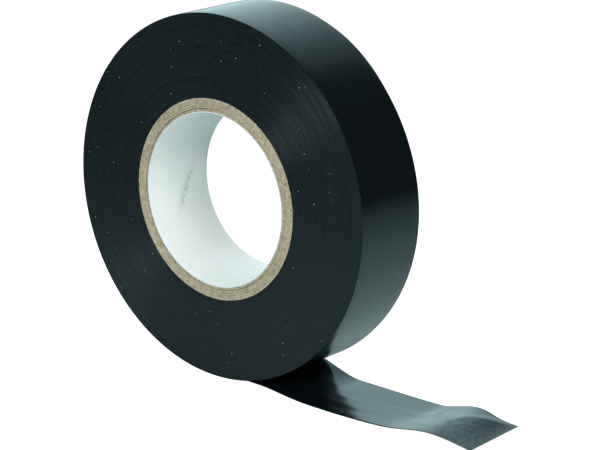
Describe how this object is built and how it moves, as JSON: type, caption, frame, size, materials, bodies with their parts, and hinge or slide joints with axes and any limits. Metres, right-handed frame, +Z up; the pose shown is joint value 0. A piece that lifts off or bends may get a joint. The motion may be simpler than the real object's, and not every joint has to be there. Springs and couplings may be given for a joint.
{
  "type": "electrical tape roll",
  "caption": "Roll of black PVC insulating tape wound on a hollow board core, standing on its tread with its loose end peeled off below and lying on the ground beside it.",
  "frame": {"origin": "the roll's centre, on the axis of the core's bore and halfway through the tape's width", "axes": "+Y runs along the bore, from the front face to the back face; +Z is up, away from the ground that the roll stands on; +X is the way the unwound tail lies"},
  "size_m": [0.1069, 0.019, 0.08],
  "materials": {
    "tape_film": "calendered black PVC film, glossy",
    "tape_edges": "slit edges of wound black PVC film, satin",
    "tape_adhesive": "thin coat of black rubber adhesive, glossy",
    "core_board": "cut edge of grey core board, matte and speckled",
    "core_liner": "smooth white liner paper, matte"
  },
  "bodies": {
    "roll": {"core_liner": "core_liner", "core_ply_1": "core_board", "core_ply_2": "core_board", "core_ply_3": "core_board", "core_ply_4": "core_board", "core_ply_5": "core_board", "wound_tape": "tape_edges"},
    "outer_turn": {"outer_turn_film": "tape_film", "outer_turn_adhesive": "tape_adhesive", "tail_lead_film": "tape_film", "tail_lead_adhesive": "tape_adhesive"},
    "tail_run": {"tail_run_film": "tape_film", "tail_run_adhesive": "tape_adhesive"},
    "tail_tip": {"tail_tip_film": "tape_film", "tail_tip_adhesive": "tape_adhesive"}
  },
  "joints": [
    {"name": "unwind", "type": "hinge", "parent": "roll", "child": "outer_turn", "pos_m": [0, 0, 0], "axis": [0, 1, 0], "continuous": true},
    {"name": "tail_lift", "type": "hinge", "parent": "outer_turn", "child": "tail_run", "pos_m": [0.02694, 0, -0.03988], "axis": [0, -1, 0], "range_deg": [-90, 40]},
    {"name": "tip_lift", "type": "hinge", "parent": "tail_run", "child": "tail_tip", "pos_m": [0.03894, 0, -0.03988], "axis": [0, -1, 0], "range_deg": [-90, 30]}
  ]
}
